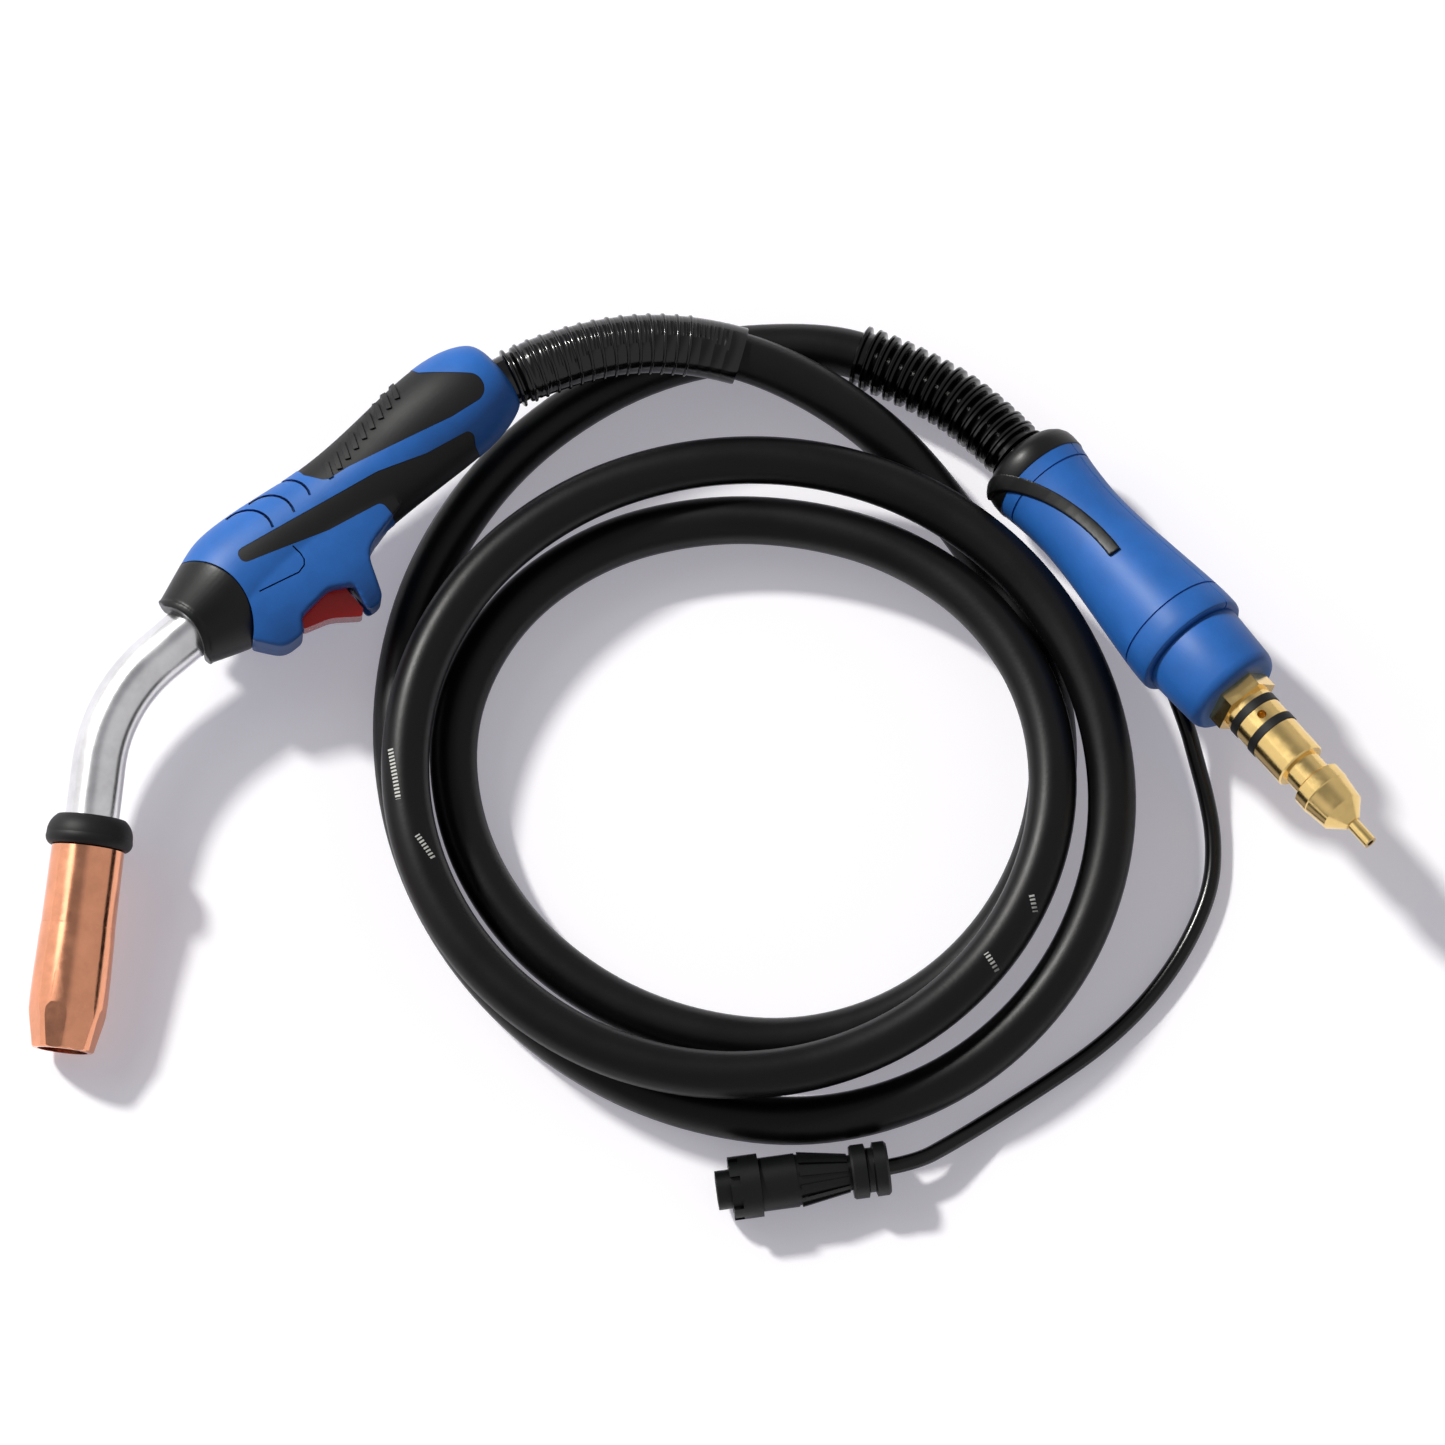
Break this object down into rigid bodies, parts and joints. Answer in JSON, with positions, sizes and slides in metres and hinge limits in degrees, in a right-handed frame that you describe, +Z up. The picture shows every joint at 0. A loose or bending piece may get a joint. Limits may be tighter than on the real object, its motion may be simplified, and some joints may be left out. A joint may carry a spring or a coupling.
{
  "type": "mig welding torch",
  "caption": "Hand-held mig welding torch with a bent neck, copper gas nozzle, trigger handle, looped cable, brass power pin connector and control plug.",
  "frame": {"origin": "under the middle of the torch's own box, on the floor it lies on", "axes": "+Z up from the floor, +Y along the torch's longest reach from the nozzle to the handle's rear, +X from the torch towards its machine connector"},
  "size_m": [0.4425, 0.3085, 0.0553],
  "materials": {
    "copper": "polished copper",
    "tip_copper": "turned copper",
    "neck_aluminium": "satin",
    "insulation": "matte",
    "inner_brass": "turned",
    "liner_steel": "plain",
    "blue_plastic": "semi-gloss moulded",
    "black_plastic": "satin moulded",
    "soft_black": "matte",
    "glossy_boot": "glossy",
    "cable_rubber": "semi-matte",
    "red_plastic": "glossy",
    "pin_brass": "bright turned",
    "insert_grey": "matte"
  },
  "bodies": {
    "torch_set": {"contact_tip": "tip_copper", "gas_diffuser": "tip_copper", "neck_jacket": "neck_aluminium", "neck_sleeve": "insulation", "nozzle_bush": "insulation", "neck_core": "inner_brass", "neck_block": "inner_brass", "cable_lug": "inner_brass", "cable_ferrule": "inner_brass", "cable_coupler": "inner_brass", "wire_liner": "liner_steel", "handle_screws": "liner_steel", "trigger_pin": "liner_steel", "handle_upper": "blue_plastic", "handle_lower": "blue_plastic", "connector_shell_upper": "blue_plastic", "connector_shell_lower": "blue_plastic", "front_sleeve": "blue_plastic", "front_collar": "black_plastic", "rear_cap": "black_plastic", "lead_grommet": "black_plastic", "plug_body": "black_plastic", "plug_shell": "black_plastic", "plug_clamp": "black_plastic", "trigger_switch": "black_plastic", "spine_pad": "soft_black", "belly_pad": "soft_black", "nozzle_boot_ring": "soft_black", "pin_seals": "soft_black", "torch_boot": "glossy_boot", "connector_boot": "glossy_boot", "cable_coil": "cable_rubber", "cable_machine_end": "cable_rubber", "cable_torch_end": "cable_rubber", "control_lead": "cable_rubber", "power_pin": "pin_brass", "pin_lock_nut": "pin_brass", "wire_guide": "pin_brass", "plug_contacts": "pin_brass", "plug_insert": "insert_grey"},
    "trigger_body": {"trigger": "red_plastic"},
    "plunger_body": {"switch_plunger": "red_plastic"},
    "nozzle_body": {"gas_nozzle": "copper"},
    "plug_ring_body": {"plug_ring": "black_plastic"}
  },
  "joints": [
    {"name": "trigger_pull", "type": "hinge", "parent": "torch_set", "child": "trigger_body", "pos_m": [0.00761, 0.0302, 0.02755], "axis": [0.0507, -0.1396, 0.9889], "range_deg": [0, 6], "stiffness_Nm_per_rad": 0.5},
    {"name": "plunger_press", "type": "slide", "parent": "torch_set", "child": "plunger_body", "axis": [-0.6474, 0.7494, 0.139], "range_m": [0, 0.00097]},
    {"name": "nozzle_pull", "type": "slide", "parent": "torch_set", "child": "nozzle_body", "axis": [-0.1182, -0.9841, -0.1328], "range_m": [0, 0.075]},
    {"name": "plug_ring_turn", "type": "hinge", "parent": "torch_set", "child": "plug_ring_body", "pos_m": [0.15561, -0.16229, 0.0106], "axis": [0.9905, 0.1374, 0], "continuous": true}
  ],
  "couplings": [
    {"joint": "plunger_press", "follows": "trigger_pull", "m_per_rad": 0.0092}
  ]
}
